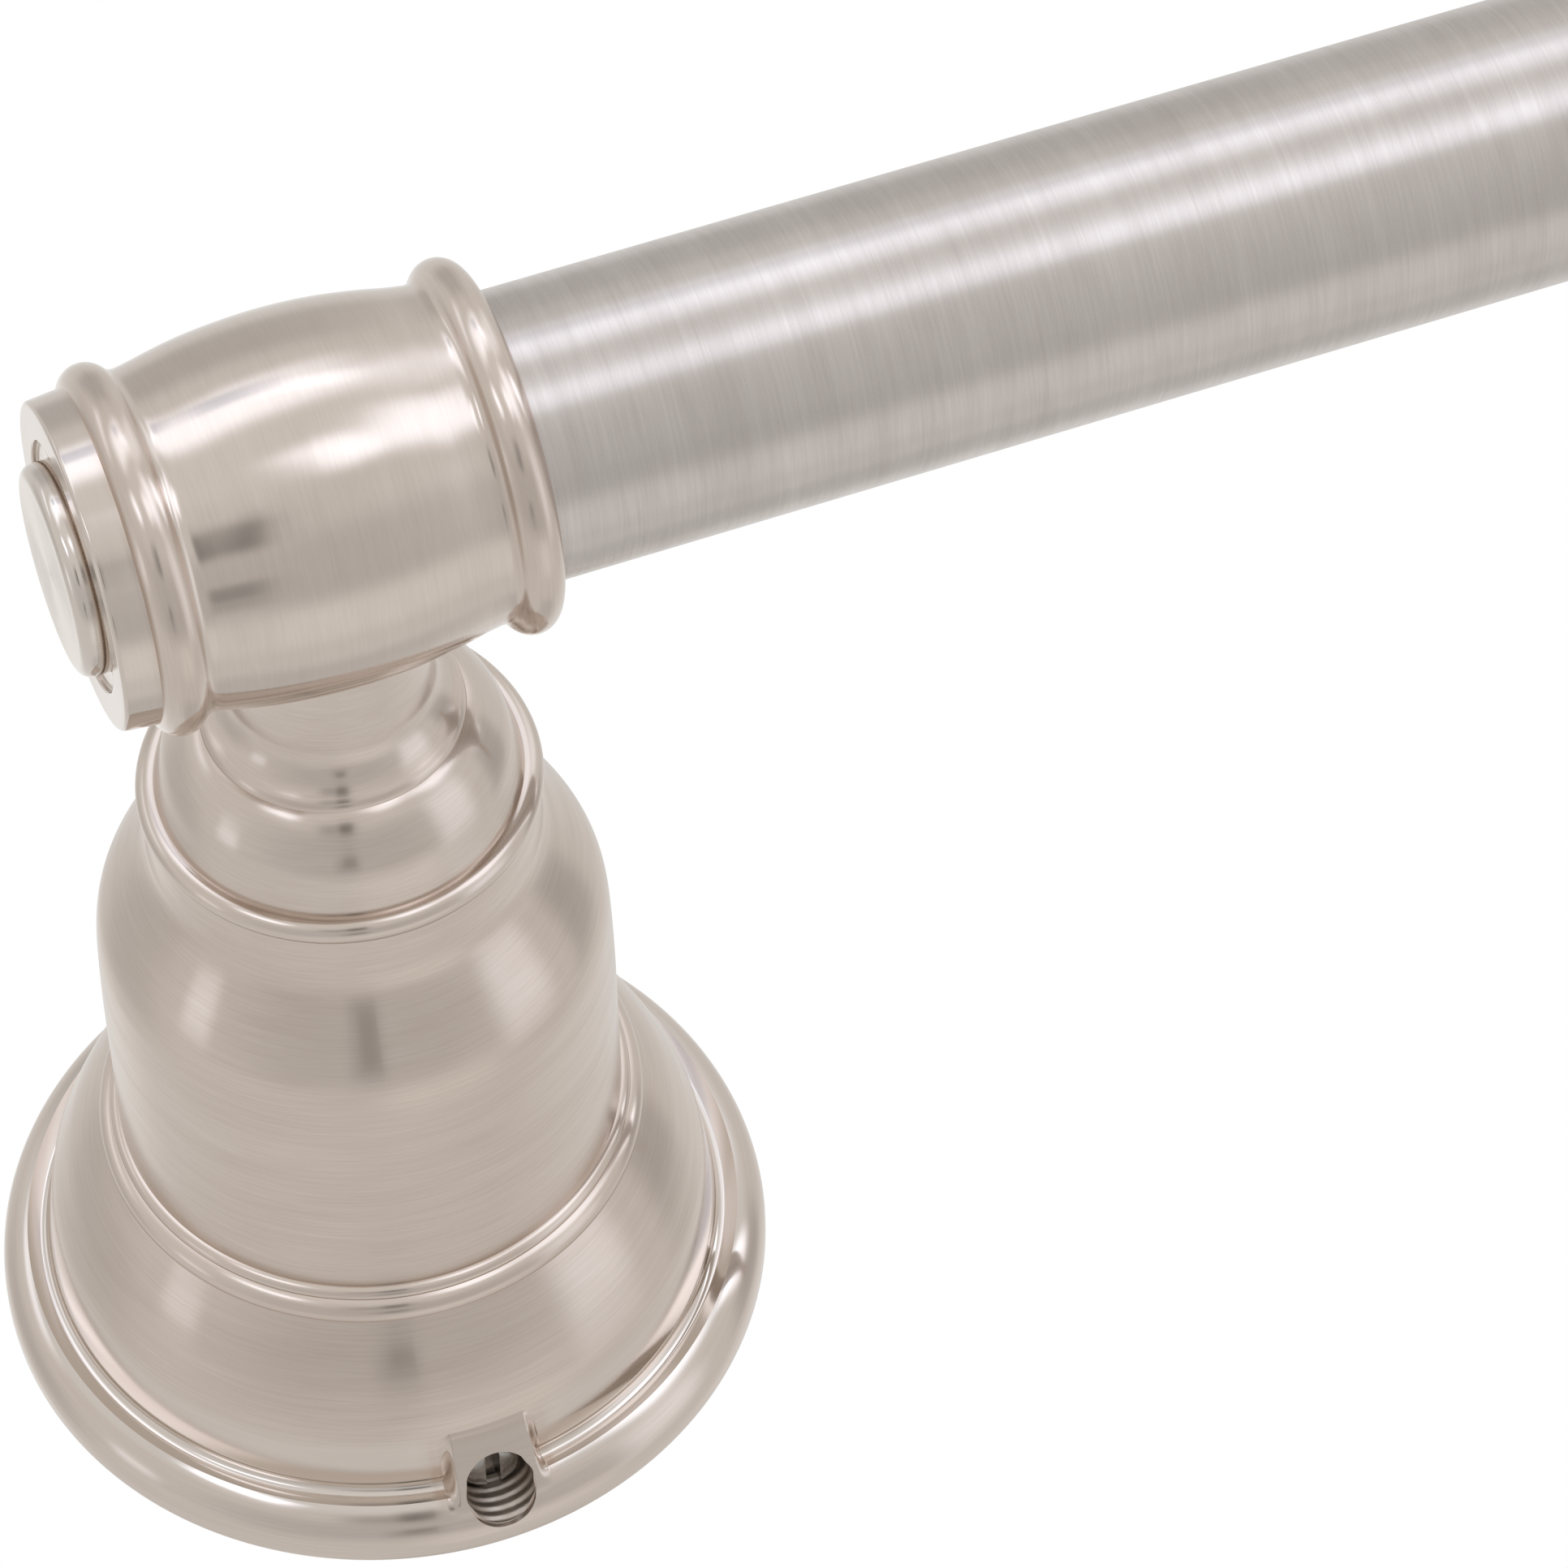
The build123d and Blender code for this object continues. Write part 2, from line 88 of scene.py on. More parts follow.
def spline(points, n=40, start=None, end=None):
    """C2 cubic through the points, chord-length spacing; optional end tangents."""
    p = np.array(points, float)
    s = np.concatenate([[0], np.cumsum(np.hypot(*np.diff(p, axis=0).T))])
    k, h = len(p), np.diff(s)
    a, b = np.zeros((k, k)), np.zeros((k, 2))
    for i in range(1, k - 1):
        a[i, i - 1:i + 2] = h[i], 2 * (h[i - 1] + h[i]), h[i - 1]
        b[i] = 3 * (h[i] * (p[i] - p[i - 1]) / h[i - 1] + h[i - 1] * (p[i + 1] - p[i]) / h[i])
    for i, given in ((0, start), (k - 1, end)):
        if given is not None:
            a[i, i], b[i] = 1, np.array(given, float) / np.hypot(*given)
        elif i == 0:
            a[0, :2], b[0] = (2, 1), 3 * (p[1] - p[0]) / h[0]
        else:
            a[i, i - 1:], b[i] = (1, 2), 3 * (p[i] - p[i - 1]) / h[i - 1]
    m = np.linalg.solve(a, b)
    out = []
    for q in np.linspace(0, s[-1], n):
        i = min(int(np.searchsorted(s, q, "right")) - 1, k - 2)
        t = (q - s[i]) / h[i]
        out.append((2 * t**3 - 3 * t**2 + 1) * p[i] + (t**3 - 2 * t**2 + t) * h[i] * m[i]
                   + (-2 * t**3 + 3 * t**2) * p[i + 1] + (t**3 - t**2) * h[i] * m[i + 1])
    return np.array(out)


def path(*pieces):
    """Curves joined end to end, without the doubled points."""
    out = [np.array(pieces[0][0], float)]
    for piece in pieces:
        for q in piece:
            if np.hypot(*(np.array(q) - out[-1])) > 1e-4:
                out.append(np.array(q, float))
    return np.array(out)


def steps(count):
    return np.linspace(0, 2 * math.pi, count, endpoint=False)


# ---------------------------------------------------------------------------
# Lathed meshes. axis "y": distance h stands for -Y (off the wall); axis "x": along the bar.
# Angle 0 points down (-Z), and grows towards +X or towards -Y.
# UV: u is the angle (0 to 1), v the length along the outline in metres.
# ---------------------------------------------------------------------------
ON_AXIS = 1e-6                                     # a smaller radius is a point on the axis


def turned(name, outline, axis, angles=None, closed=False, rings=None, offset=(0, 0, 0), polish=None):
    """outline: (distance, radius) in mm. rings(angle) may give another outline for that angle, and
    polish(point, angle) how polished the surface is there, for the map "finish"."""
    angles = steps(256) if angles is None else angles
    n, m = len(angles), len(outline)
    run = np.concatenate([[0], np.cumsum(np.hypot(*np.diff(outline, axis=0).T))]) * MM
    bm = bmesh.new()
    uv = bm.loops.layers.uv.new("turning")
    fin = bm.loops.layers.uv.new("finish")
    grid = []
    for i, t in enumerate(angles):
        ring = outline if rings is None else rings(t)
        column = []
        for d, r in ring:
            side, down = r * math.sin(t), -r * math.cos(t)
            co = (side, -d, down) if axis == "y" else (d, -side, down)
            column.append(bm.verts.new([(c + o) * MM for c, o in zip(co, offset)]))
        grid.append(column)
    for i in range(n):
        j = (i + 1) % n
        u0 = angles[i] / (2 * math.pi)
        u1 = angles[j] / (2 * math.pi) + (1 if j == 0 else 0)
        for k in range(m if closed else m - 1):
            nxt = (k + 1) % m
            corners = [(i, k, u0), (i, nxt, u0), (j, nxt, u1), (j, k, u1)]
            if outline[k][1] < ON_AXIS:
                corners = corners[:3] if outline[nxt][1] > ON_AXIS else None
            elif outline[nxt][1] < ON_AXIS:
                corners = [corners[0], corners[1], corners[3]]
            if corners is None:
                continue
            face = bm.faces.new([grid[a][b] for a, b, _ in corners])
            face.smooth = True
            for loop, (_, b, u) in zip(face.loops, corners):
                loop[uv].uv = (u, run[b])
                loop[fin].uv = (polish(outline[b], u * 2 * math.pi) if polish else 0.0, 0.0)
    bmesh.ops.remove_doubles(bm, verts=[v for c in grid for v in c if v.is_valid], dist=1e-8)
    bmesh.ops.recalc_face_normals(bm, faces=bm.faces)
    mesh = bpy.data.meshes.new(name)
    bm.to_mesh(mesh)
    bm.free()
    mesh.set_sharp_from_angle(angle=SMOOTH_BELOW)
    return mesh


def piece(name, mesh, body, where, node, slot):
    """One visible piece that rides on a body and stands in for a CAD node."""
    obj = bpy.data.objects.new(name, mesh)
    bpy.context.scene.collection.objects.link(obj)
    obj.location = where
    bpy.context.view_layer.update()
    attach(obj, body)
    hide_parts(node)


def box_mesh(name, low, high, bevel=0.0, segments=3):
    bm = bmesh.new()
    bmesh.ops.create_cube(bm, size=1)
    for v in bm.verts:
        v.co = [(l + (h - l) * (c + 0.5)) * MM for l, h, c in zip(low, high, v.co)]
    if bevel:
        bmesh.ops.bevel(bm, geom=bm.edges, offset=bevel * MM, segments=segments, affect="EDGES", profile=0.5)
    uv = bm.loops.layers.uv.new("turning")
    for f in bm.faces:
        f.smooth = True
        for loop in f.loops:
            loop[uv].uv = (loop.vert.co.x * 12, loop.vert.co.z + loop.vert.co.y)
    mesh = bpy.data.meshes.new(name)
    bm.to_mesh(mesh)
    bm.free()
    mesh.set_sharp_from_angle(angle=SMOOTH_BELOW)
    return mesh


def carve(mesh, other, how):
    """The mesh after an exact union with, or difference from, another one."""
    a = bpy.data.objects.new("carve_a", mesh)
    b = bpy.data.objects.new("carve_b", other)
    for o in (a, b):
        bpy.context.scene.collection.objects.link(o)
    mod = a.modifiers.new("carve", "BOOLEAN")
    mod.operation, mod.solver, mod.object = how, "EXACT", b
    done = bpy.data.meshes.new_from_object(a.evaluated_get(bpy.context.evaluated_depsgraph_get()))
    for o in (a, b):
        bpy.data.objects.remove(o)
    done.name = mesh.name
    done.set_sharp_from_angle(angle=SMOOTH_BELOW)
    return done


# ---------------------------------------------------------------------------
# Threads: a rod whose radius follows a right-handed helix
# ---------------------------------------------------------------------------
FLAT = 0.16                                        # share of the pitch that root and crest stay flat


def thread_radius(angle, along, pitch, root, crest):
    phase = (along / pitch - angle / (2 * math.pi)) % 1.0
    ridge = 1 - abs(2 * phase - 1)
    return root + (crest - root) * min(1.0, max(0.0, (ridge - FLAT) / (1 - 2 * FLAT)))


def threaded_rod(name, pitch, root, crest, low, high, around=72, step=0.05, limit=None, centre=(0, 0)):
    """Along local Z from low to high (mm), centred on (x, y)."""
    levels = int(round((high - low) / step)) + 1
    bm = bmesh.new()
    uv = bm.loops.layers.uv.new("turning")
    rings = []
    for k in range(levels):
        z = low + (high - low) * k / (levels - 1)
        ring = []
        for t in steps(around):
            r = thread_radius(t, z, pitch, root, crest)
            if limit:
                r = min(r, limit(z))
            ring.append(bm.verts.new(((centre[0] + r * math.cos(t)) * MM,
                                      (centre[1] + r * math.sin(t)) * MM, z * MM)))
        rings.append(ring)
    for k in range(levels - 1):
        for i in range(around):
            j = (i + 1) % around
            face = bm.faces.new((rings[k][i], rings[k][j], rings[k + 1][j], rings[k + 1][i]))
            face.smooth = True
            for loop, (u, v) in zip(face.loops, ((i, k), (i + 1, k), (i + 1, k + 1), (i, k + 1))):
                loop[uv].uv = (u / around, v * step * MM)
    for ring, flip in ((rings[0], True), (rings[-1], False)):
        middle = bm.verts.new((centre[0] * MM, centre[1] * MM, ring[0].co.z))
        for i in range(around):
            j = (i + 1) % around
            corners = (ring[j], ring[i], middle) if flip else (ring[i], ring[j], middle)
            bm.faces.new(corners).smooth = True
    bmesh.ops.recalc_face_normals(bm, faces=bm.faces)
    mesh = bpy.data.meshes.new(name)
    bm.to_mesh(mesh)
    bm.free()
    mesh.set_sharp_from_angle(angle=math.radians(50))
    return mesh


# ---------------------------------------------------------------------------
# Bell escutcheon: outline as (height from the wall, radius)
# ---------------------------------------------------------------------------
def swap(points):
    return [(h, r) for r, h in points]


EDGE = 0.25                                        # rounding of the flange's edge at the wall
RIM_FOOT, RIM_MID, RIM_TOP = swap([(FLANGE_RADIUS, 0.9), (26.6, 2.85), (25.25, 4.05)])
GROOVE_MID, GROOVE, FILLET_MID, SKIRT_FOOT, SKIRT_BREAK = swap(
    [(24.82, 3.86), (24.3, 3.68), (23.86, 3.9), (23.68, 4.5), (23.2, 8.0)])
SKIRT = swap([(22.95, 9.4), (22.45, 10.9), (21.5, 13.2), (20.2, 15.6), (18.95, 17.4)])
RING_LOW = swap([(18.95, 17.4), (18.85, 18.2), (18.1, 18.85)])
RING_HIGH = swap([(18.1, 18.85), (17.95, 19.35), (17.5, 19.6)])
SHOULDER = swap([(17.5, 31.0), (17.46, 34.5), (17.36, 38.0), (17.08, 40.5), (16.34, 42.5), (15.2, 44.6),
                 (14.1, 46.6), (13.2, 49.5)])
SEAT_RADIUS, SEAT_HEIGHT = 12.3, 54.6              # where the cup stands on the bell's bead
BEAD = swap([(13.1, 52.86), (13.48, 53.66), (SEAT_RADIUS, SEAT_HEIGHT)])
CAVITY_FOOT, CAVITY_BORE = swap([(21.0, 8.5), (15.1, 19.2)])
CAVITY_SKIRT = swap([(16.9, 16.0), (19.6, 11.3)])
CAVITY_BORE_TOP, CAVITY_TOP = swap([(15.1, 38.5), (8.2, 46.0)])
CAVITY_DOME = swap([(10.2, 45.4), (12.3, 43.8), (14.2, 41.2)])
WEB_HOLE = 3.3                                     # post screw's hole through the bell's top
outer = path(
    line((0, CAVITY_FOOT[1]), (0, FLANGE_RADIUS - EDGE)),
    arc((0, FLANGE_RADIUS - EDGE), (0.07, FLANGE_RADIUS - 0.07), (EDGE, FLANGE_RADIUS), 5),
    line((EDGE, FLANGE_RADIUS), RIM_FOOT, 4),
    arc(RIM_FOOT, RIM_MID, RIM_TOP, 30),
    arc(RIM_TOP, GROOVE_MID, GROOVE, 12),
    arc(GROOVE, FILLET_MID, SKIRT_FOOT, 16),
    line(SKIRT_FOOT, SKIRT_BREAK, 14),
    spline([SKIRT_BREAK, *SKIRT], 50),
    arc(*RING_LOW, 10),
    arc(*RING_HIGH, 8),
    line(RING_HIGH[2], SHOULDER[0], 20),
    spline(SHOULDER, 60, (1, 0), (1, 0)),
    line(SHOULDER[-1], BEAD[0], 6),
    arc(*BEAD, 16),
)
inner = path(
    line(BEAD[2], (SEAT_HEIGHT, WEB_HOLE)),
    line((SEAT_HEIGHT, WEB_HOLE), (CAVITY_TOP[0], WEB_HOLE)),
    line((CAVITY_TOP[0], WEB_HOLE), CAVITY_TOP),
    spline([CAVITY_TOP, *CAVITY_DOME, CAVITY_BORE_TOP], 14),
    line(CAVITY_BORE_TOP, CAVITY_BORE),
    spline([CAVITY_BORE, *CAVITY_SKIRT, CAVITY_FOOT], 10),
    line(CAVITY_FOOT, (0.0, CAVITY_FOOT[1])),
)
bell_outline = path(outer, inner)[:-1]

# The set-screw pad: near the bottom the outline leaves the rim and climbs a plain slope to the skirt.
PAD_FOOT, PAD_LOW, PAD_HIGH = swap([(26.35, 3.15), (25.82, 3.85), (23.62, 8.0)])
PAD_END = SKIRT[0]
PAD_HALF_WIDTH = 3.8                               # at the foot, with its side walls
PAD_NARROWING = 0.06                               # the pad gets narrower with height
PAD_WALL = 0.85                                    # width of a side wall with its rounded edges
PAD_HALF_ANGLE = 10.8                              # degrees round the post that the pad may reach
pad_climb = path(
    spline([PAD_FOOT, (3.36, 26.15), PAD_LOW], 12),
    line(PAD_LOW, PAD_HIGH, 40),
    spline([PAD_HIGH, *swap([(23.48, 8.25), (23.32, 8.43), (23.16, 8.62), (23.05, 8.93)]), PAD_END], 16),
)


def nearest(outline, point):
    return int(np.argmin(np.abs(outline - np.array(point)).sum(1)))


def resampled(points, count):
    s = np.concatenate([[0], np.cumsum(np.hypot(*np.diff(points, axis=0).T))])
    q = np.linspace(0, s[-1], count)
    return np.stack([np.interp(q, s, points[:, 0]), np.interp(q, s, points[:, 1])], 1)


pad_first = nearest(outer, PAD_FOOT)
climb = resampled(pad_climb, nearest(outer, PAD_END) - pad_first + 1)


def pad_weight(angle, height, radius):
    """1 on the pad's face, 0 beside it, with rounded edges between."""
    x = abs(radius * math.sin(angle))
    edge = PAD_HALF_WIDTH - PAD_NARROWING * (height - 4.0)
    t = min(1.0, max(0.0, (edge - x) / PAD_WALL))
    return 0.45 * t + 0.55 * t * t * (3 - 2 * t)


def bell_ring(angle):
    a = (angle + math.pi) % (2 * math.pi) - math.pi
    if abs(a) > math.radians(PAD_HALF_ANGLE):
        return bell_outline
    ring = bell_outline.copy()
    for i, (h, r) in enumerate(climb):
        w = pad_weight(a, h, r)
        ring[pad_first + i] = ring[pad_first + i] * (1 - w) + np.array((h, r)) * w
    return ring


near = np.radians(np.arange(-PAD_HALF_ANGLE, PAD_HALF_ANGLE + 0.01, 0.2))
far = np.radians(np.linspace(PAD_HALF_ANGLE, 360 - PAD_HALF_ANGLE, 190))[1:-1]


# ---------------------------------------------------------------------------
# How polished each surface is at an outline's point: 0 is satin from the brush, 1 is the brightest finish
# ---------------------------------------------------------------------------
def fade(value, low, high):
    """0 below low, 1 above high, smooth between."""
    t = min(1.0, max(0.0, (value - low) / (high - low)))
    return t * t * (3 - 2 * t)


def fall(value, low, high):
    return 1 - fade(value, low, high)


def bell_polish(q, angle):
    h, r = q
    beside_pad = fade(abs(r * math.sin(angle)), 3.9, 4.7) if math.cos(angle) > 0 else 1.0
    groove = fade(h, 3.2, 3.6) * fall(r, 25.5, 26.0) * (0.55 + 0.45 * fall(h, 4.5, 6.0)) * fall(h, 7.4, 9.4)
    skirt_foot = fall(h, 4.0, 9.0)
    waist = fade(h, 17.5, 18.1) * fall(h, 19.5, 20.0)
    bead = fade(h, 52.5, 52.9)
    return max(0.2 * skirt_foot, groove * beside_pad, 0.15 * bead) * (1 - 0.9 * waist)


def cup_polish(q, angle):
    h, _ = q
    neck_ring = fade(h, 60.6, 61.1) * fall(h, 62.0, 62.6)
    return 0.2 * (1 - neck_ring)


def barrel_polish(q, angle):
    x, _ = q
    disc = fall(x, -13.8, -13.4)
    beads = max(fall(x, -10.7, -10.2), fade(x, 9.4, 9.9))
    return max(0.35 - 0.3 * beads, 0.6 * disc)


def button_polish(q, angle):
    _, r = q
    return 0.2 + 0.8 * fade(r, 5.9, 6.2)


# ---------------------------------------------------------------------------
# Bell with its lug, hook and tapped hole
# ---------------------------------------------------------------------------
bell_mesh = turned("bell", bell_outline, "y", np.concatenate([near, far]), closed=True, rings=bell_ring,
                   polish=bell_polish)
# The lug holds the set screw's thread, the hook hangs on the wall plate.
lug_mesh = box_mesh("lug", (-4.5, -8.2, -22.0), (4.5, -0.02, -17.4), 0.5)
hook_mesh = box_mesh("hook", (-5.0, -4.2, 14.9), (5.0, -1.3, 22.0), 0.3)
SCREW_Y = -4.2                                     # set screw's axis, off the wall
PITCH = 0.8
HOLE_ROOT, HOLE_CREST = 2.4, 2.5
HOLE_START, START_DEPTH = 2.52, 0.16               # plain mouth of the hole
OUTSIDE = -28.0                                    # below the flange, where the cutters begin
hole_mesh = threaded_rod("hole", PITCH, HOLE_ROOT, HOLE_CREST, OUTSIDE, -17.0, centre=(0, SCREW_Y))
for mesh in (bell_mesh, hole_mesh):
    mesh.materials.append(None)
    mesh.materials.append(None)
for face in hole_mesh.polygons:
    face.material_index = 1


def slanted_start(name, radius, depth):
    """Plain start of the hole, its floor parallel to the pad's sloping face."""
    bm = bmesh.new()
    floor, top = [], []
    slope = (PAD_LOW[1] - PAD_HIGH[1]) / (PAD_HIGH[0] - PAD_LOW[0])
    for t in steps(96):
        x, y = radius * math.cos(t), SCREW_Y + radius * math.sin(t)
        face_z = -(PAD_LOW[1] - (-y - PAD_LOW[0]) * slope)
        floor.append(bm.verts.new((x * MM, y * MM, (face_z + depth) * MM)))
        top.append(bm.verts.new((x * MM, y * MM, (OUTSIDE - 0.5) * MM)))
    bm.faces.new(floor)
    bm.faces.new(top)
    for i in range(len(floor)):
        bm.faces.new((floor[i], floor[i - 1], top[i - 1], top[i]))
    bmesh.ops.recalc_face_normals(bm, faces=bm.faces)
    mesh = bpy.data.meshes.new(name)
    bm.to_mesh(mesh)
    bm.free()
    return mesh


bell_mesh = carve(bell_mesh, lug_mesh, "UNION")
bell_mesh = carve(bell_mesh, hook_mesh, "UNION")
bell_mesh = carve(bell_mesh, hole_mesh, "DIFFERENCE")
bell_mesh = carve(bell_mesh, slanted_start("start", HOLE_START, START_DEPTH), "DIFFERENCE")

# ---------------------------------------------------------------------------
# Head: cup and neck on the post's axis, barrel on the bar's axis
# ---------------------------------------------------------------------------
CUP_FOOT, CUP_TOP = swap([(SEAT_RADIUS - 0.05, SEAT_HEIGHT), (8.75, 61.1)])
CUP = swap([(11.9, 55.9), (11.35, 57.8), (10.4, 59.5)])
NECK_RING, NECK_COVE, NECK_FOOT = swap([(8.45, 61.75), (7.25, 63.1), (6.8, 65.1)])
NECK_END = (72.3, NECK_FOOT[1])                    # inside the barrel
cup_outline = path(
    line((SEAT_HEIGHT, 0.0), CUP_FOOT),
    spline([CUP_FOOT, *CUP, CUP_TOP], 36, (1, -0.2), (1, -2.2)),
    arc(CUP_TOP, (61.38, 8.68), NECK_RING, 6),
    arc(NECK_RING, NECK_COVE, NECK_FOOT, 16),
    line(NECK_FOOT, NECK_END, 10),
    line(NECK_END, (NECK_END[0], 0.0)),
)
cup_mesh = turned("cup", cup_outline, "y", polish=cup_polish)

DISC_FACE, RECESS_FLOOR, RECESS_RADIUS = -15.77, -15.4, 8.2
DISC_RIM, DISC_FOOT = (-15.47, 10.75), (-13.4, 10.95)
OUTER_BEAD, OUTER_BEAD_END = (-11.8, 12.12), (-10.55, 11.5)
BARREL_FROM, BARREL_TO = (-8.5, 11.41), (9.1, 11.19)
BARREL = [(-7.0, 11.72), (-5.5, 11.97), (-4.0, 12.14), (-2.5, 12.25), (-0.75, 12.32), (1.0, 12.3),
          (2.5, 12.22), (4.0, 12.07), (5.5, 11.85), (7.0, 11.58), (8.0, 11.37)]
INNER_BEAD_FROM, INNER_BEAD, INNER_BEAD_END = (10.12, 11.52), (11.31, 12.34), (12.97, 10.7)
SOCKET_FLOOR, SOCKET_RADIUS = -8.6, 9.66
MOUTH_X = INNER_BEAD_END[0]
barrel_outline = path(
    line((RECESS_FLOOR, 0.0), (RECESS_FLOOR, RECESS_RADIUS - 0.06)),
    arc((RECESS_FLOOR, RECESS_RADIUS - 0.06), (-15.42, 8.18), (-15.46, RECESS_RADIUS), 4),
    line((-15.46, RECESS_RADIUS), (-15.65, RECESS_RADIUS), 3),
    arc((-15.65, RECESS_RADIUS), (-15.74, 8.24), (DISC_FACE, 8.34), 5),
    line((DISC_FACE, 8.34), (DISC_FACE, 10.45), 8),
    arc((DISC_FACE, 10.45), (-15.68, 10.66), DISC_RIM, 8),
    line(DISC_RIM, DISC_FOOT, 10),
    arc(DISC_FOOT, OUTER_BEAD, OUTER_BEAD_END, 26),
    spline([OUTER_BEAD_END, (-10.3, 11.29), (-9.95, 11.19), (-9.5, 11.22), (-9.0, 11.31), BARREL_FROM], 14),
    spline([BARREL_FROM, *BARREL, BARREL_TO], 90),
    spline([BARREL_TO, (9.5, 11.16), (9.85, 11.26), INNER_BEAD_FROM], 10),
    arc(INNER_BEAD_FROM, INNER_BEAD, INNER_BEAD_END, 30),
    line(INNER_BEAD_END, (MOUTH_X, 10.0), 4),
    arc((MOUTH_X, 10.0), (MOUTH_X - 0.1, 9.76), (MOUTH_X - 0.35, SOCKET_RADIUS), 6),
    line((MOUTH_X - 0.35, SOCKET_RADIUS), (SOCKET_FLOOR, SOCKET_RADIUS), 8),
    line((SOCKET_FLOOR, SOCKET_RADIUS), (SOCKET_FLOOR, 0.0)),
)
barrel_mesh = turned("barrel", barrel_outline, "x", offset=(0, -BAR_STANDOFF, 0), polish=barrel_polish)

BUTTON_FACE, BUTTON_RADIUS = -17.23, 6.95
button_outline = path(
    line((BUTTON_FACE, 0.0), (BUTTON_FACE, 6.0), 6),
    arc((BUTTON_FACE, 6.0), (-16.97, 6.69), (-16.3, BUTTON_RADIUS), 14),
    line((-16.3, BUTTON_RADIUS), (RECESS_FLOOR, BUTTON_RADIUS), 5),
    line((RECESS_FLOOR, BUTTON_RADIUS), (RECESS_FLOOR, 0.0)),
)
button_mesh = turned("button", button_outline, "x", offset=(0, -BAR_STANDOFF, 0), polish=button_polish)

# ---------------------------------------------------------------------------
# Bar
# ---------------------------------------------------------------------------
BAR_WALL, BAR_CHAMFER = 1.0, 0.2
bar_outline = path(
    line((BAR_CHAMFER - BAR_HALF, BAR_RADIUS), (BAR_HALF - BAR_CHAMFER, BAR_RADIUS), 80),
    line((BAR_HALF - BAR_CHAMFER, BAR_RADIUS), (BAR_HALF, BAR_RADIUS - BAR_CHAMFER)),
    line((BAR_HALF, BAR_RADIUS - BAR_CHAMFER), (BAR_HALF, BAR_RADIUS - BAR_WALL)),
    line((BAR_HALF, BAR_RADIUS - BAR_WALL), (-BAR_HALF, BAR_RADIUS - BAR_WALL), 8),
    line((-BAR_HALF, BAR_RADIUS - BAR_WALL), (-BAR_HALF, BAR_RADIUS - BAR_CHAMFER)),
)
bar_mesh = turned("bar", bar_outline, "x", closed=True, offset=(0, -BAR_STANDOFF, 0))

# ---------------------------------------------------------------------------
# Set screw: slotted, with a cone point
# ---------------------------------------------------------------------------
SCREW_OUT, SCREW_IN = -23.9, -15.75                # slotted end and point, along Z
SCREW_ROOT, SCREW_CREST = 2.2, 2.38
POINT, POINT_RADIUS, CONE_RADIUS = 1.3, 1.2, 2.4
SLOT_WIDTH, SLOT_DEPTH = 1.05, 1.3


def screw_limit(z):
    """Chamfer at the slotted end, cone at the point."""
    chamfer = 1.75 + (z - SCREW_OUT) * 1.4
    cone = POINT_RADIUS + (SCREW_IN - z) * (CONE_RADIUS - POINT_RADIUS) / POINT
    return min(chamfer, cone)


screw_mesh = threaded_rod("set_screw", PITCH, SCREW_ROOT, SCREW_CREST, SCREW_OUT, SCREW_IN, limit=screw_limit,
                          centre=(0, SCREW_Y))
slot_mesh = box_mesh("slot", (-SLOT_WIDTH / 2, SCREW_Y - 3, SCREW_OUT - 1),
                     (SLOT_WIDTH / 2, SCREW_Y + 3, SCREW_OUT + SLOT_DEPTH))
screw_mesh = carve(screw_mesh, slot_mesh, "DIFFERENCE")

# ---------------------------------------------------------------------------
# Wall screws: coarse thread with a point, plain neck, pan head with a cross recess
# ---------------------------------------------------------------------------
WALL_SCREWS = (-8.0, 8.0)                          # heights of a plate's two screws, from the post's axis
TIP, TAPER_END = -29.4, -24.4                      # the thread tapers between them
THREAD_RADIUS, THREAD_ROOT, THREAD_PITCH = 2.1, 1.45, 1.8
NECK_RADIUS, NECK_TOP = 2.35, 2.6
HEAD_RADIUS, HEAD_TOP = 3.9, 5.08
RUN_OUT = 2.0                                      # the thread fades out over this length under the neck
CROSS_WIDTH, CROSS_LENGTH, CROSS_FLOOR = 1.0, 4.4, 3.75
wall_screw_outline = path(
    line((TIP, 0.0), (TIP, 0.3)),
    line((TIP, 0.35), (-0.02, THREAD_RADIUS), 300),
    line((0.0, NECK_RADIUS - 0.05), (NECK_TOP, NECK_RADIUS), 4),
    line((NECK_TOP, NECK_RADIUS), (NECK_TOP, HEAD_RADIUS - 0.3), 3),
    arc((NECK_TOP, HEAD_RADIUS - 0.3), (2.72, 3.82), (2.95, HEAD_RADIUS), 5),
    arc((2.95, HEAD_RADIUS), (4.3, 3.35), (4.98, 1.8), 14),
    line((4.98, 1.8), (HEAD_TOP, 0.0), 4),
)


def wall_screw_ring(angle):
    ring = wall_screw_outline.copy()
    for i, (h, _) in enumerate(ring):
        if TIP < h < -0.01 and i > 1:
            taper = min(1.0, 0.17 + 0.83 * (h - TIP) / (TAPER_END - TIP))
            rise = 0.15 + 0.5 * min(1.0, max(0.0, -h / RUN_OUT))
            radius = thread_radius(angle, h, THREAD_PITCH, THREAD_ROOT * taper, (THREAD_ROOT + rise) * taper)
            ring[i][1] = min(THREAD_RADIUS, radius)
    return ring


wall_screw_mesh = turned("wall_screw", wall_screw_outline, "y", steps(60), rings=wall_screw_ring)
for turn in (0, 90):
    arm = box_mesh("arm", (-CROSS_LENGTH / 2, -HEAD_TOP - 0.52, -CROSS_WIDTH / 2),
                   (CROSS_LENGTH / 2, -CROSS_FLOOR, CROSS_WIDTH / 2), 0.12, 2)
    arm.transform(Matrix.Rotation(math.radians(turn), 4, "Y"))
    wall_screw_mesh = carve(wall_screw_mesh, arm, "DIFFERENCE")

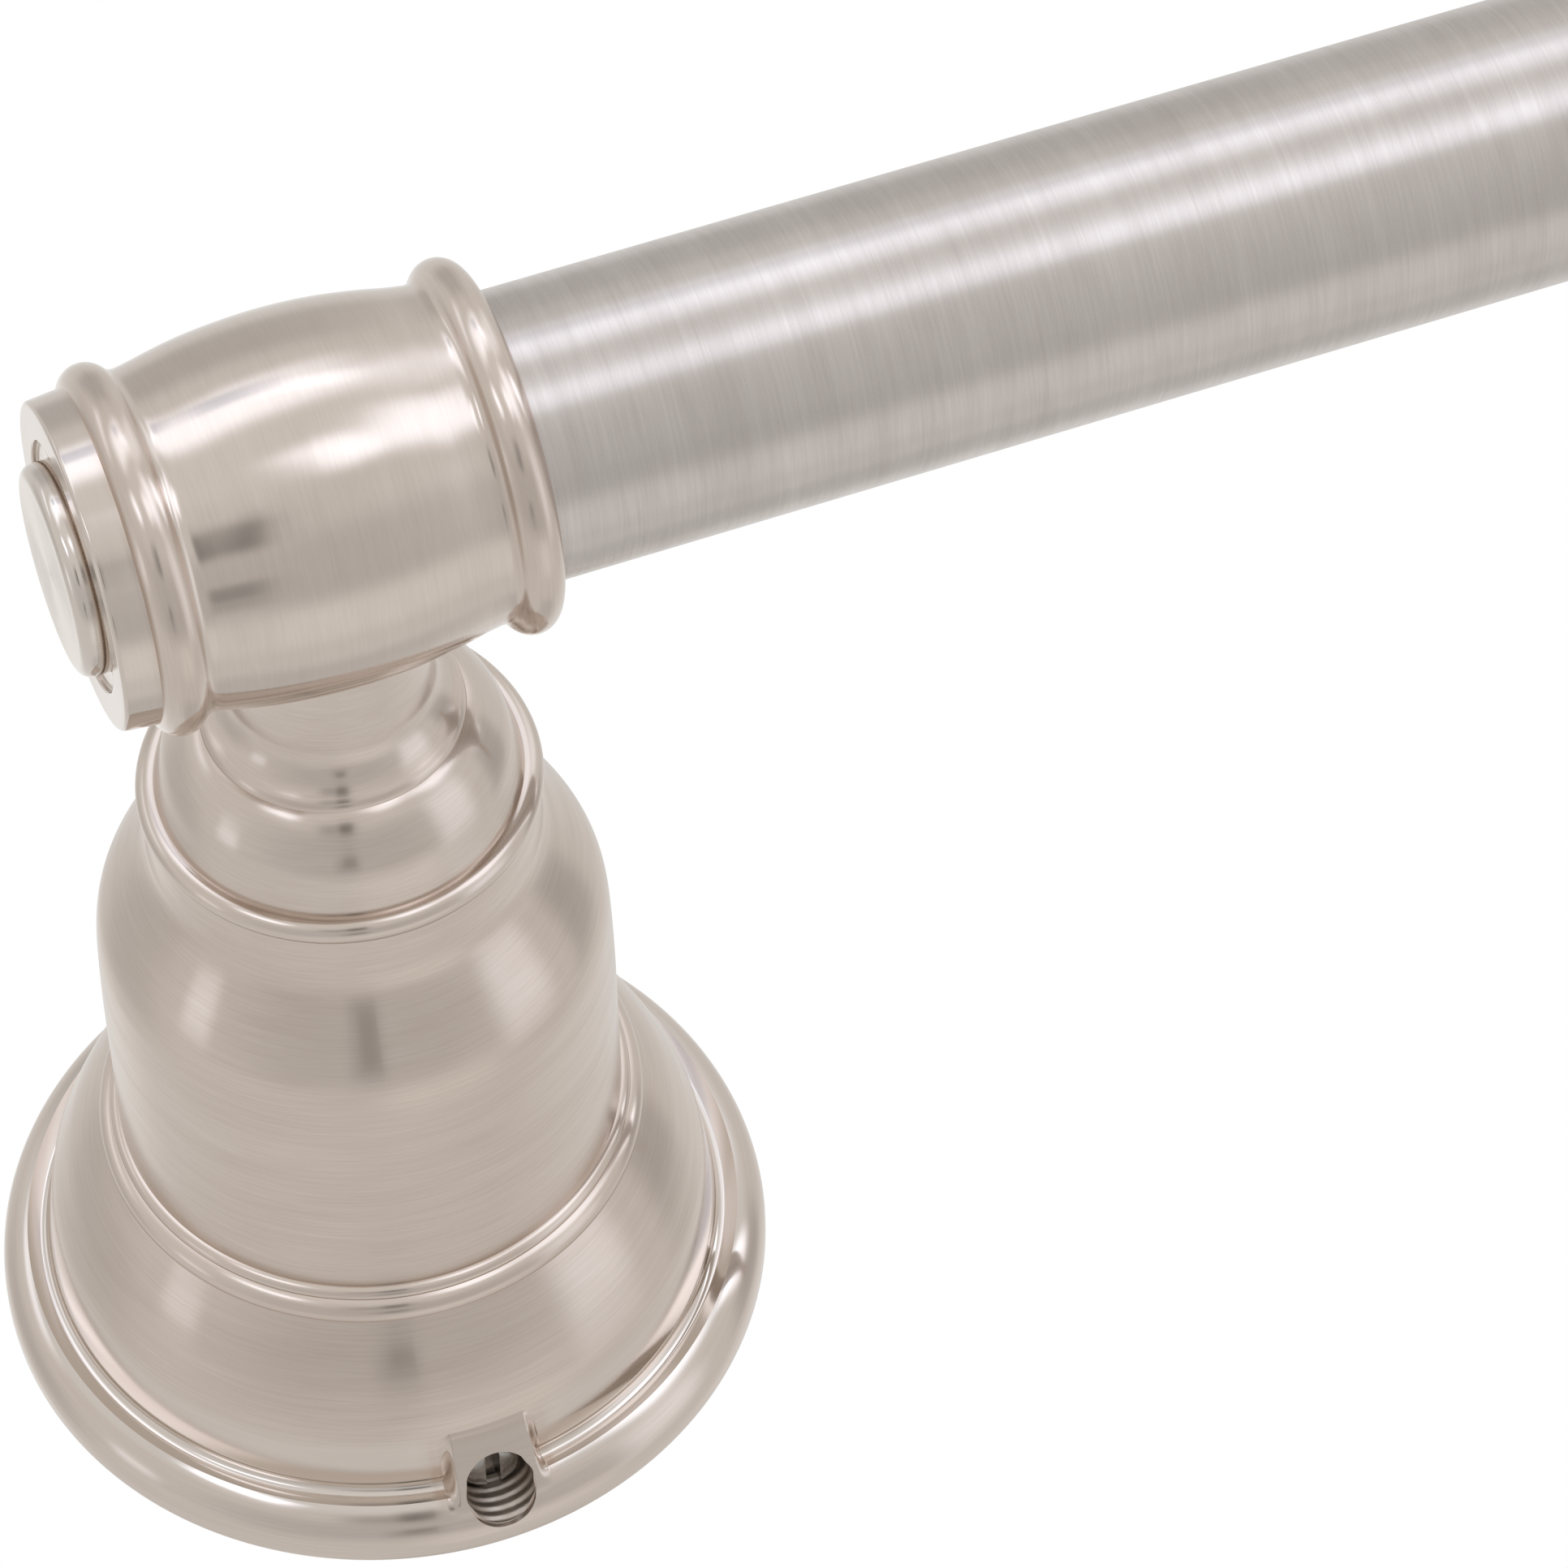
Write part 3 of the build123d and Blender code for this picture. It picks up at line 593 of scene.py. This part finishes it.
# ---------------------------------------------------------------------------
# Materials
# ---------------------------------------------------------------------------
def shader(name):
    mat = bpy.data.materials.new(name)
    mat.use_nodes = True
    return mat, mat.node_tree, mat.node_tree.nodes["Principled BSDF"]


def node(tree, kind, inputs=None, **settings):
    made = tree.nodes.new(kind)
    for key, value in settings.items():
        setattr(made, key, value)
    for key, value in (inputs or {}).items():
        if isinstance(value, bpy.types.NodeSocket):
            tree.links.new(value, made.inputs[key])
        else:
            made.inputs[key].default_value = value
    return made


def math_node(tree, how, a, b=0.5):
    return node(tree, "ShaderNodeMath", {0: a, 1: b}, operation=how).outputs[0]


def spread(tree, value, low, high, to_low, to_high, smooth=False):
    kind = {"interpolation_type": "SMOOTHSTEP"} if smooth else {}
    values = {0: value, 1: low, 2: high, 3: to_low, 4: to_high}
    return node(tree, "ShaderNodeMapRange", values, **kind).outputs[0]


def blend(tree, a, b, share):
    """share of a, and the rest of b."""
    first = math_node(tree, "MULTIPLY", a, share)
    return math_node(tree, "ADD", first, math_node(tree, "MULTIPLY", b, 1 - share))


def tint(tree, value, dark, light):
    mix = node(tree, "ShaderNodeMix", {"Factor": value}, data_type="RGBA")
    mix.inputs[6].default_value = (*dark, 1)
    mix.inputs[7].default_value = (*light, 1)
    return mix.outputs[2]


def turning_noise(tree, around, along, detail=2.0, seed=0.0):
    """Noise in streaks that run round the part: around = cells per turn / 2 pi, along = cells per metre."""
    uv = node(tree, "ShaderNodeUVMap", uv_map="turning")
    parts = node(tree, "ShaderNodeSeparateXYZ", {0: uv.outputs[0]})
    turn = math_node(tree, "MULTIPLY", parts.outputs[0], 2 * math.pi)
    x = math_node(tree, "MULTIPLY", math_node(tree, "COSINE", turn), around)
    y = math_node(tree, "MULTIPLY", math_node(tree, "SINE", turn), around)
    z = math_node(tree, "MULTIPLY", parts.outputs[1], along)
    where = node(tree, "ShaderNodeCombineXYZ", {0: x, 1: y, 2: z})
    values = {"Vector": where.outputs[0], "W": seed, "Scale": 1.0, "Detail": detail, "Roughness": 0.6}
    return node(tree, "ShaderNodeTexNoise", values, noise_dimensions="4D").outputs[0]


def brushed(name, dark, light, bright, rough, polished, anisotropy, streak, fine, relief, seed):
    """Metal brushed round its own axis. The map "finish" (u) says how polished a spot is: satin metal goes
    from dark to light, polished metal is bright. streak and fine: the grain's cells round and along."""
    mat, tree, bsdf = shader(name)
    hair = turning_noise(tree, streak, fine, 3.0, seed)
    band = turning_noise(tree, streak * 0.35, fine * 0.13, 2.0, seed + 3)
    cloud = turning_noise(tree, 1.3, 160.0, 2.0, seed + 7)
    finish = node(tree, "ShaderNodeUVMap", uv_map="finish")
    polish = node(tree, "ShaderNodeSeparateXYZ", {0: finish.outputs[0]}).outputs[0]
    mixed = blend(tree, hair, band, 0.6)
    tone = blend(tree, mixed, cloud, 0.7)
    colour = node(tree, "ShaderNodeMix", {"Factor": polish}, data_type="RGBA")
    tree.links.new(tint(tree, spread(tree, tone, 0.32, 0.68, 0.0, 1.0), dark, light), colour.inputs[6])
    colour.inputs[7].default_value = (*bright, 1)
    tree.links.new(colour.outputs[2], bsdf.inputs["Base Color"])
    satin = spread(tree, tone, 0.3, 0.7, rough + 0.035, rough - 0.035)
    shine = spread(tree, cloud, 0.3, 0.7, polished + 0.02, polished - 0.02)
    mixing = node(tree, "ShaderNodeMix", {0: polish, 2: satin, 3: shine})
    tree.links.new(mixing.outputs[0], bsdf.inputs["Roughness"])
    depth = spread(tree, polish, 0.0, 1.0, relief, relief * 0.15)
    height = math_node(tree, "MULTIPLY", mixed, depth)
    bump = node(tree, "ShaderNodeBump", {"Strength": 1.0, "Distance": 1.0, "Height": height})
    tree.links.new(bump.outputs[0], bsdf.inputs["Normal"])
    tangent = node(tree, "ShaderNodeTangent", direction_type="UV_MAP", uv_map="turning")
    tree.links.new(tangent.outputs[0], bsdf.inputs["Tangent"])
    bsdf.inputs["Metallic"].default_value = 1
    bsdf.inputs["Anisotropic"].default_value = anisotropy
    bsdf.inputs["Anisotropic Rotation"].default_value = 0.25
    return mat


def mottled(name, dark, light, metal, rough, grain, relief):
    """Plain stock: plated steel, zinc or nylon, with a fine grain and faint clouds."""
    mat, tree, bsdf = shader(name)
    spot = node(tree, "ShaderNodeTexCoord").outputs["Object"]
    fine = node(tree, "ShaderNodeTexNoise", {"Vector": spot, "Scale": grain, "Detail": 4.0}).outputs[0]
    coarse = grain * 0.07
    cloud = node(tree, "ShaderNodeTexNoise", {"Vector": spot, "Scale": coarse, "Detail": 3.0}).outputs[0]
    both = blend(tree, fine, cloud, 0.4)
    colour = tint(tree, spread(tree, both, 0.35, 0.65, 0.0, 1.0), dark, light)
    tree.links.new(colour, bsdf.inputs["Base Color"])
    tree.links.new(spread(tree, both, 0.3, 0.7, rough + 0.06, rough - 0.06), bsdf.inputs["Roughness"])
    bump = node(tree, "ShaderNodeBump", {"Strength": 1.0, "Distance": 1.0,
                                         "Height": math_node(tree, "MULTIPLY", fine, relief)})
    tree.links.new(bump.outputs[0], bsdf.inputs["Normal"])
    bsdf.inputs["Metallic"].default_value = metal
    return mat


nickel = brushed("satin_nickel", dark=(0.615, 0.523, 0.457), light=(0.715, 0.625, 0.56),
                 bright=(0.71, 0.645, 0.59), rough=0.16, polished=0.07, anisotropy=0.9,
                 streak=3.2, fine=5200.0, relief=1.2e-6, seed=1.0)
bar_nickel = brushed("satin_nickel_bar", dark=(0.575, 0.525, 0.493), light=(0.70, 0.647, 0.613),
                     bright=(0.70, 0.66, 0.63), rough=0.27, polished=0.2, anisotropy=1.0,
                     streak=1.8, fine=5200.0, relief=3.0e-6, seed=5.0)
METAL, NOT_METAL = 1.0, 0.0
zinc = mottled("zinc_plate", (0.50, 0.50, 0.49), (0.66, 0.66, 0.65), METAL, 0.34, 1800.0, 2.0e-6)
steel = mottled("plated_steel", (0.34, 0.32, 0.30), (0.50, 0.48, 0.45), METAL, 0.24, 2200.0, 1.5e-6)
# Inside the tapped hole: a rougher thread surface, and a slightly darker tone than the nickel that is painted
# shade in the hole
tapped = mottled("tapped_thread_and_shade", (0.57, 0.50, 0.44), (0.68, 0.605, 0.54), METAL, 0.46, 1500.0, 1.0e-6)
nylon = mottled("white_nylon", (0.70, 0.70, 0.68), (0.80, 0.80, 0.78), NOT_METAL, 0.5, 900.0, 4.0e-6)

# ---------------------------------------------------------------------------
# Put it together
# ---------------------------------------------------------------------------
# The hole's faces (index 1) take the rougher metal whose darker tone is painted shade in the hole
bell_mesh.materials[0], bell_mesh.materials[1] = nickel, tapped
for mesh, material in ((cup_mesh, nickel), (barrel_mesh, nickel), (button_mesh, nickel), (screw_mesh, steel),
                       (wall_screw_mesh, zinc), (bar_mesh, bar_nickel)):
    mesh.materials.clear()
    mesh.materials.append(material)
HEAD_PARTS = (("cup", cup_mesh, "_barrel_head"), ("barrel", barrel_mesh, "_barrel_head"),
              ("button", button_mesh, "_finial_button"))
for side in SIDES:
    post = (POSTS[side], 0, 0)
    piece(side + "_bell_turned", bell_mesh, "brackets", post, side + "_bell", "satin_nickel_casting")
    for part, mesh, source in HEAD_PARTS:
        if side == "right":                        # its barrel points the other way
            mesh = mesh.copy()
            mesh.transform(Matrix.Rotation(math.pi, 4, "Y"))
        piece(f"{side}_{part}_turned", mesh, "brackets", post, side + source, "satin_nickel_casting")
    piece(side + "_set_screw_cut", screw_mesh, side + "_set_screw", post, side + "_set_screw",
          "zinc_plated_steel")
    for n, height in enumerate(WALL_SCREWS):
        piece(f"{side}_wall_screw_{n}", wall_screw_mesh, "brackets", (POSTS[side], 0, height * MM),
              side + "_wall_screws", "zinc_plated_steel")
piece("bar_tube_turned", bar_mesh, "bar", (0, 0, 0), "bar_tube", "satin_nickel_tube")
for name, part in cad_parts.items():
    part.data.materials.clear()
    if "plug" in name:
        part.data.materials.append(nylon)
    elif "washer" in name or "screw" in name:
        part.data.materials.append(steel)
    else:
        part.data.materials.append(zinc)

# ---------------------------------------------------------------------------
# Camera: below and to the left of the left bracket, looking up at it, tilted so that the bar climbs
# ---------------------------------------------------------------------------
scene = bpy.context.scene
HEADING, RISE, ROLL = (math.radians(angle) for angle in (14.548, 35.321, -25.525))
CAMERA_FROM_POST = Vector((-73.27, -440.37, -294.27)) * MM
CAMERA_LENS = 170.93
cam = bpy.data.cameras.new("camera")
cam.lens, cam.sensor_width = CAMERA_LENS, 36
cam.clip_start, cam.clip_end = 0.05, 50
toward = Vector((math.sin(HEADING) * math.cos(RISE), math.cos(HEADING) * math.cos(RISE), math.sin(RISE)))
level = toward.cross(Vector((0, 0, 1))).normalized()
upright = level.cross(toward)
right = level * math.cos(ROLL) + upright * math.sin(ROLL)
up = upright * math.cos(ROLL) - level * math.sin(ROLL)
view = Matrix((right, up, -toward)).transposed().to_4x4()
view.translation = Vector((POSTS["left"], 0, 0)) + CAMERA_FROM_POST
cam_obj = bpy.data.objects.new("camera", cam)
scene.collection.objects.link(cam_obj)
cam_obj.matrix_world = view
scene.camera = cam_obj

# ---------------------------------------------------------------------------
# Light: a pale room with soft boxes very far away, seen in the metal only
# ---------------------------------------------------------------------------
scene.view_settings.view_transform = "Standard"
world = bpy.data.worlds.new("studio")
scene.world = world
world.use_nodes = True
sky = world.node_tree
sky.nodes.clear()
way = node(sky, "ShaderNodeTexCoord").outputs["Generated"]


def along(axis):
    return node(sky, "ShaderNodeVectorMath", {0: way, 1: axis}, operation="DOT_PRODUCT").outputs["Value"]


def soft_box(height, round_post, half_wide, half_high, power):
    """A soft-edged light far away. Degrees: height is the angle off the wall towards the room, round_post is
    counted round the post from straight down towards +X. A negative power takes light away."""
    e, a = math.radians(height), math.radians(round_post)
    middle = (math.sin(a) * math.cos(e), -math.sin(e), -math.cos(a) * math.cos(e))
    wide = (math.cos(a), 0, math.sin(a))
    high = (-math.sin(a) * math.sin(e), -math.cos(e), math.cos(a) * math.sin(e))
    x = math_node(sky, "ARCTAN2", along(wide), along(middle))
    y = math_node(sky, "ARCSINE", along(high))
    total = None
    for value, half in ((x, half_wide), (y, half_high)):
        value = math_node(sky, "MULTIPLY", value, 1 / math.radians(half))
        square = math_node(sky, "MULTIPLY", value, value)
        fourth = math_node(sky, "MULTIPLY", square, square)
        total = fourth if total is None else math_node(sky, "ADD", total, fourth)
    fall = math_node(sky, "EXPONENT", math_node(sky, "MULTIPLY", total, -1.0))
    return math_node(sky, "MULTIPLY", fall, power)


ROOM, TABLE = 0.781, 0.757                         # light in front of the wall's plane and behind it
TOP = 0.058                                        # added straight off the wall
DARKEST = 0.02
ROOM_COLOUR, LAMP_COLOUR = (1.005, 1.0, 0.985), (0.94, 1.02, 1.22)
LAMPS = [                                          # height, round_post, half_wide, half_high, power
    (62, -166, 25.3, 13.9, 0.77),                  # the large one, in front and above
    (69, 32, 7.3, 10.5, 0.90),                     # in front
    (54, -69, 10.1, 5.6, 1.36),                    # on the left
    (-2, -84, 6.8, 7.7, 0.34),
    (23, -134, 15.6, 5.7, 0.45),
    (54, 73, 13.6, 17.0, 0.83),                    # on the right
    (22, 94, 6.3, 13.9, 1.15),
    (6, 53, 13.6, 26.5, 0.31),
    (40, 127, 11.4, 22.7, 0.38),
    (59, 157, 8.4, 4.5, 0.39),
]
TINTS = [                                          # lighter and darker parts of the room
    (38, -19, 11.0, 8.9, -0.28),                   # dark below the camera
    (40, -13, 4.0, 12.0, -0.26),
    (10, -12, 55.8, 23.4, -0.16),                  # dark straight below
    (6, -13, 3.9, 5.0, -0.17),
    (2, -14, 7.1, 8.8, -0.15),
    (55, -175, 7.7, 4.5, -0.56),                   # dark above
    (10, -180, 21.8, 20.0, -0.20),
    (-9, 94, 12.2, 18.7, -0.22),                   # dark on the right
    (-19, -124, 21.6, 15.2, -0.13),                # behind the wall's plane
    (-74, 15, 17.5, 12.7, -0.13),
    (-28, 13, 22.3, 15.0, 0.10),
    (-58, 140, 37.4, 23.6, 0.08),
    (-52, -160, 16.0, 11.0, 0.12),
]


def lights(boxes, colour, base=0.0):
    total = base
    for box in boxes:
        total = math_node(sky, "ADD", soft_box(*box), total)
    return node(sky, "ShaderNodeVectorMath", {0: colour, "Scale": total}, operation="SCALE").outputs[0]


off_wall = along((0, -1, 0))
room = spread(sky, off_wall, -0.15, 0.15, TABLE, ROOM, True)
room = math_node(sky, "ADD", room, spread(sky, off_wall, 0.75, 1.0, 0.0, TOP, True))
room = lights(TINTS, ROOM_COLOUR, room)
lamps = lights(LAMPS, LAMP_COLOUR)
light = node(sky, "ShaderNodeVectorMath", {0: room, 1: lamps}, operation="ADD").outputs[0]
light = node(sky, "ShaderNodeVectorMath", {0: light, 1: (DARKEST,) * 3}, operation="MAXIMUM").outputs[0]
behind = node(sky, "ShaderNodeMix", {"Factor": node(sky, "ShaderNodeLightPath").outputs["Is Camera Ray"]},
              data_type="RGBA")
sky.links.new(light, behind.inputs[6])
behind.inputs[7].default_value = (1, 1, 1, 1)      # plain white behind the object
lamp = node(sky, "ShaderNodeBackground", {"Color": behind.outputs[2], "Strength": 1.0})
sky.links.new(lamp.outputs[0], node(sky, "ShaderNodeOutputWorld").inputs["Surface"])

# ---------------------------------------------------------------------------
# Floor, far below so that it stays out of the main view
# ---------------------------------------------------------------------------
FLOOR_HALF, FLOOR_Z = 30, -2.6
floor_mesh = bpy.data.meshes.new("floor")
corners = [(x * FLOOR_HALF, y * FLOOR_HALF, FLOOR_Z) for x, y in ((-1, -1), (1, -1), (1, 1), (-1, 1))]
floor_mesh.from_pydata(corners, [], [(0, 1, 2, 3)])
pale = mottled("pale_floor", (0.86, 0.86, 0.86), (0.89, 0.89, 0.89), NOT_METAL, 0.7, 3.0, 0.0)
floor_mesh.materials.append(pale)
floor = bpy.data.objects.new("floor", floor_mesh)
scene.collection.objects.link(floor)
floor.visible_glossy = False
